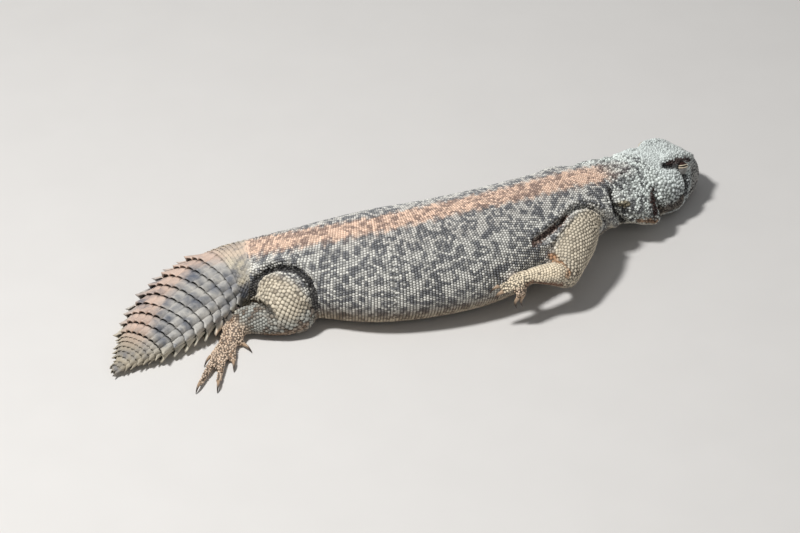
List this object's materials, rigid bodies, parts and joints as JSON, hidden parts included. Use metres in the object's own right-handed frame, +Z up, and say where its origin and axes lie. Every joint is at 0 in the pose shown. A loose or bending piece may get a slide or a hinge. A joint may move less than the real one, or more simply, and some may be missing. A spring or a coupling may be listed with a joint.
{
  "type": "uromastyx figure",
  "caption": "Life-size still model of a stocky, short-tailed spiny-tailed lizard basking on its belly, one forelimb lifted and the head turned to its left.",
  "frame": {"origin": "middle of the footprint, on the floor", "axes": "+X towards the head along the model's length, -Y towards the animal's right side, +Z up"},
  "size_m": [0.2305, 0.0817, 0.0332],
  "materials": {
    "trunk": "finely scaled, dull",
    "tail": "spiny plates, dull horn",
    "head": "small plates, dull",
    "limb": "scaled, dull",
    "claw": "polished horn",
    "eye": "wet gloss"
  },
  "bodies": {
    "root": {"head": "head", "lower_jaw": "head", "eye_right": "eye", "eye_left": "eye", "neck": "trunk", "trunk_front": "trunk", "trunk_rear": "trunk", "tail_base": "tail", "tail_middle": "tail", "tail_tip": "tail", "upper_arm_right": "limb", "forearm_right": "limb", "thigh_right": "limb", "shin_right": "limb", "hand_right": "limb", "foot_right": "limb", "claw_hand_right_1": "claw", "claw_hand_right_2": "claw", "claw_hand_right_3": "claw", "claw_hand_right_4": "claw", "claw_hand_right_5": "claw", "claw_foot_right_1": "claw", "claw_foot_right_2": "claw", "claw_foot_right_3": "claw", "claw_foot_right_4": "claw", "claw_foot_right_5": "claw", "upper_arm_left": "limb", "forearm_left": "limb", "thigh_left": "limb", "shin_left": "limb", "hand_left": "limb", "foot_left": "limb", "claw_hand_left_1": "claw", "claw_hand_left_2": "claw", "claw_hand_left_3": "claw", "claw_hand_left_4": "claw", "claw_hand_left_5": "claw", "claw_foot_left_1": "claw", "claw_foot_left_2": "claw", "claw_foot_left_3": "claw", "claw_foot_left_4": "claw", "claw_foot_left_5": "claw"}
  },
  "joints": []
}
